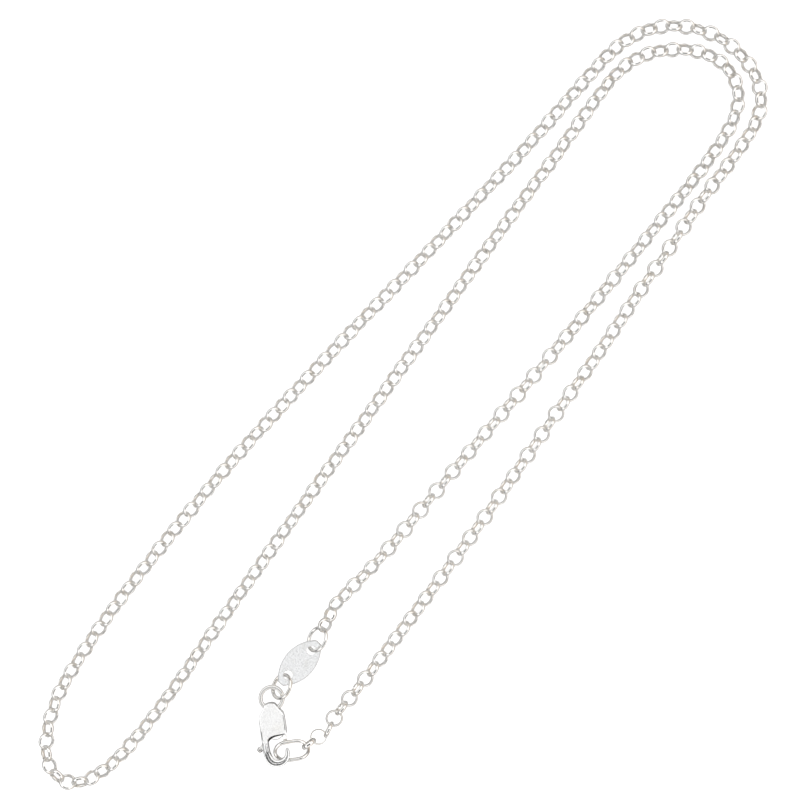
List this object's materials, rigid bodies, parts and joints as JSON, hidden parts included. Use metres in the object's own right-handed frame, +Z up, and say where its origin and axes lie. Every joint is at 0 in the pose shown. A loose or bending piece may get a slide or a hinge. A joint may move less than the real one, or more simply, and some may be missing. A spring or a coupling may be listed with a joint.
{
  "type": "rolo chain necklace",
  "caption": "Fine silver-coloured rolo chain necklace, closed by a lever clasp with an oval tag, laid flat in a long double loop.",
  "frame": {"origin": "bottom centre of the bounding box, on the surface that the necklace lies on", "axes": "+Y along the laid-out loop, away from the clasp; +Z up from the surface; +X across the loop, from the open bend to the clasp's strand"},
  "size_m": [0.0344, 0.1328, 0.0029],
  "materials": {
    "polished_silver": "polished",
    "satin_silver": "satin"
  },
  "bodies": {
    "necklace": {"chain": "polished_silver", "tag_end_link_1": "polished_silver", "tag_end_link_2": "polished_silver", "clasp_end_link_1": "polished_silver", "clasp_end_link_2": "polished_silver", "tag_ring_upper": "polished_silver", "tag": "satin_silver", "tag_ring_lower": "polished_silver", "clasp_ring": "polished_silver", "clasp_body": "satin_silver", "clasp_pin": "polished_silver", "end_ring": "polished_silver"},
    "lever": {"clasp_lever": "polished_silver"}
  },
  "joints": [
    {"name": "gate_lever", "type": "hinge", "parent": "necklace", "child": "lever", "pos_m": [0.0109, -0.043, 0.0009], "axis": [0, 0, -1], "range_deg": [0, 18], "stiffness_Nm_per_rad": 0.003, "springref_deg": -17.19}
  ]
}
